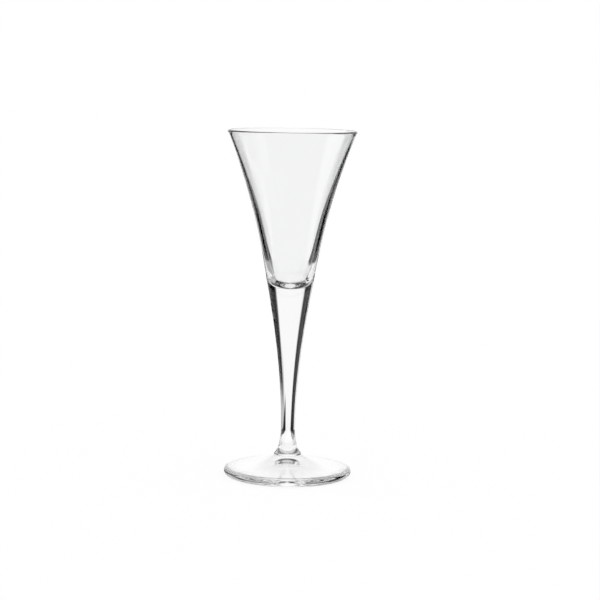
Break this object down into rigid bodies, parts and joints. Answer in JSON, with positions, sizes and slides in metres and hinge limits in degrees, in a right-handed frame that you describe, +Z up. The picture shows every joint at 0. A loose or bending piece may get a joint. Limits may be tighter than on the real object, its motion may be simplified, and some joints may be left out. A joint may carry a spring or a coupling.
{
  "type": "cordial glass",
  "caption": "Stemmed cordial glass in clear glass: slender trumpet bowl with a round lip, solid tapering stem and a round foot, hollow underneath, for small pours of liqueur.",
  "frame": {"origin": "on the table under the middle of the foot", "axes": "+Z up along the axis of the glass; the glass is round, so +X and +Y are free choices"},
  "size_m": [0.0568, 0.0568, 0.153],
  "materials": {
    "clear_glass": "clear soda-lime glass, fire polished"
  },
  "bodies": {
    "root": {"bowl": "clear_glass", "stem": "clear_glass", "foot": "clear_glass"}
  },
  "joints": []
}
